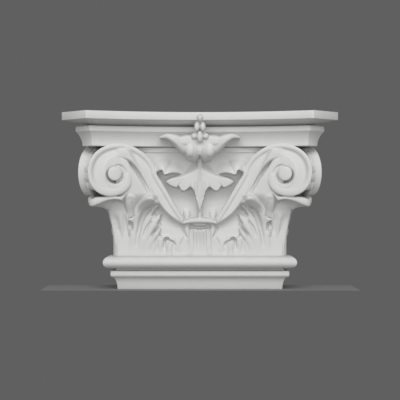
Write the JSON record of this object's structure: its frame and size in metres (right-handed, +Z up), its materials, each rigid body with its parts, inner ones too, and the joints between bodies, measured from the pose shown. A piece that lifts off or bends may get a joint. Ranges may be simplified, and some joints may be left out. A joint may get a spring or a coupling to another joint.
{
  "type": "corinthian pilaster capital",
  "caption": "Wall capital with hollow-sided moulded abacus, corner volutes on curving straps, acanthus leaves, a centre flower with berries, and a torus base; flat back.",
  "frame": {"origin": "centre of the flat underside that sits on the pilaster shaft", "axes": "+Z up; +Y towards the wall, out of the flat back; +X to the right as seen from the front, along the longest extent"},
  "size_m": [0.3412, 0.118, 0.2211],
  "materials": {
    "white_primer": "factory primer, matt white, over a rigid foam moulding"
  },
  "bodies": {
    "root": {"capital": "white_primer"}
  },
  "joints": []
}
